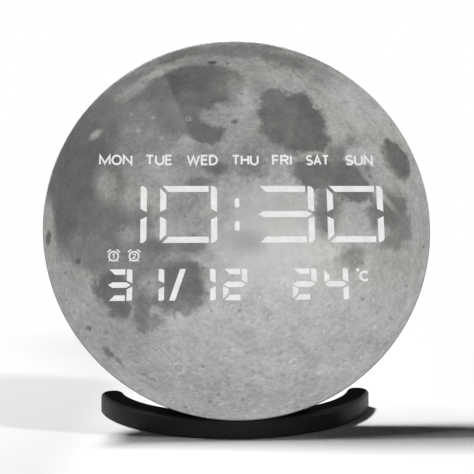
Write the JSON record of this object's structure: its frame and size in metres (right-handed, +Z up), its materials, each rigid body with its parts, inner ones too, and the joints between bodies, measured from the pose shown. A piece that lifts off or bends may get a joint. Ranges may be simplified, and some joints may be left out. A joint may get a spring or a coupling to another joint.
{
  "type": "digital desk clock with moon face",
  "caption": "Round digital desk clock: a glossy moon-printed disc with lit figures on a shallow housing, leaning back in a black C-shaped tray stand.",
  "frame": {"origin": "on the ground plane under the middle of the overall box, between the face's lowest front edge and the tray's tips", "axes": "+Z up, -Y toward the viewer in front of the face, +X to that viewer's right; the head leans back by 12 degrees"},
  "size_m": [0.2, 0.0656, 0.2049],
  "materials": {
    "satin_black": "satin black ABS, finely moulded",
    "black_textured": "fine-textured black ABS",
    "foot_rubber": "matt dark rubber",
    "screw_steel": "blackened steel",
    "moon_print": "glossy acrylic over a grey print of the full moon's surface",
    "lit_white": "white light shining through the glossy face",
    "housing_black": "spark-textured black ABS",
    "key_rubber": "satin dark grey plastic",
    "diffuser_white": "thin white diffusing film",
    "white_plastic": "white moulded plastic",
    "led_white": "small white emitters",
    "board_green": "green solder mask on glass-epoxy board",
    "chip_black": "moulded black epoxy",
    "can_metal": "bright drawn metal can",
    "bead_black": "black epoxy bead on tinned leads",
    "cell_steel": "nickel-plated steel"
  },
  "bodies": {
    "stand": {"stand_ring": "satin_black", "stand_base": "black_textured", "foot_pads": "foot_rubber", "stand_screws": "screw_steel"},
    "head": {"face_panel": "moon_print", "time_digits": "lit_white", "colon_dots": "lit_white", "date_digits": "lit_white", "temperature_digits": "lit_white", "front_shell": "housing_black", "rear_cover": "housing_black", "battery_door": "housing_black", "diffuser_film": "diffuser_white", "segment_block": "white_plastic", "segment_leds": "led_white", "circuit_board": "board_green", "driver_chips": "chip_black", "crystal": "can_metal", "capacitor": "can_metal", "buzzer": "chip_black", "thermistor": "bead_black", "key_switches": "chip_black", "power_socket_shell": "can_metal", "power_socket_tongue": "chip_black", "coin_battery": "cell_steel", "battery_contacts": "cell_steel", "cover_screws": "screw_steel", "board_screws": "screw_steel", "battery_door_screw": "screw_steel"},
    "set_key_body": {"set_key": "key_rubber", "set_switch_button": "white_plastic"},
    "up_key_body": {"up_key": "key_rubber", "up_switch_button": "white_plastic"},
    "down_key_body": {"down_key": "key_rubber", "down_switch_button": "white_plastic"},
    "alarm_key_body": {"alarm_key": "key_rubber", "alarm_switch_button": "white_plastic"}
  },
  "joints": [
    {"name": "head_lift", "type": "slide", "parent": "stand", "child": "head", "axis": [0, 0.2079, 0.9781], "range_m": [0, 0.03]},
    {"name": "set_key_press", "type": "slide", "parent": "head", "child": "set_key_body", "axis": [0, -0.9781, 0.2079], "range_m": [0, 0.0004], "stiffness_N_per_m": 1000, "springref_m": -0.0005},
    {"name": "up_key_press", "type": "slide", "parent": "head", "child": "up_key_body", "axis": [0, -0.9781, 0.2079], "range_m": [0, 0.0004], "stiffness_N_per_m": 1000, "springref_m": -0.0005},
    {"name": "down_key_press", "type": "slide", "parent": "head", "child": "down_key_body", "axis": [0, -0.9781, 0.2079], "range_m": [0, 0.0004], "stiffness_N_per_m": 1000, "springref_m": -0.0005},
    {"name": "alarm_key_press", "type": "slide", "parent": "head", "child": "alarm_key_body", "axis": [0, -0.9781, 0.2079], "range_m": [0, 0.0004], "stiffness_N_per_m": 1000, "springref_m": -0.0005}
  ]
}
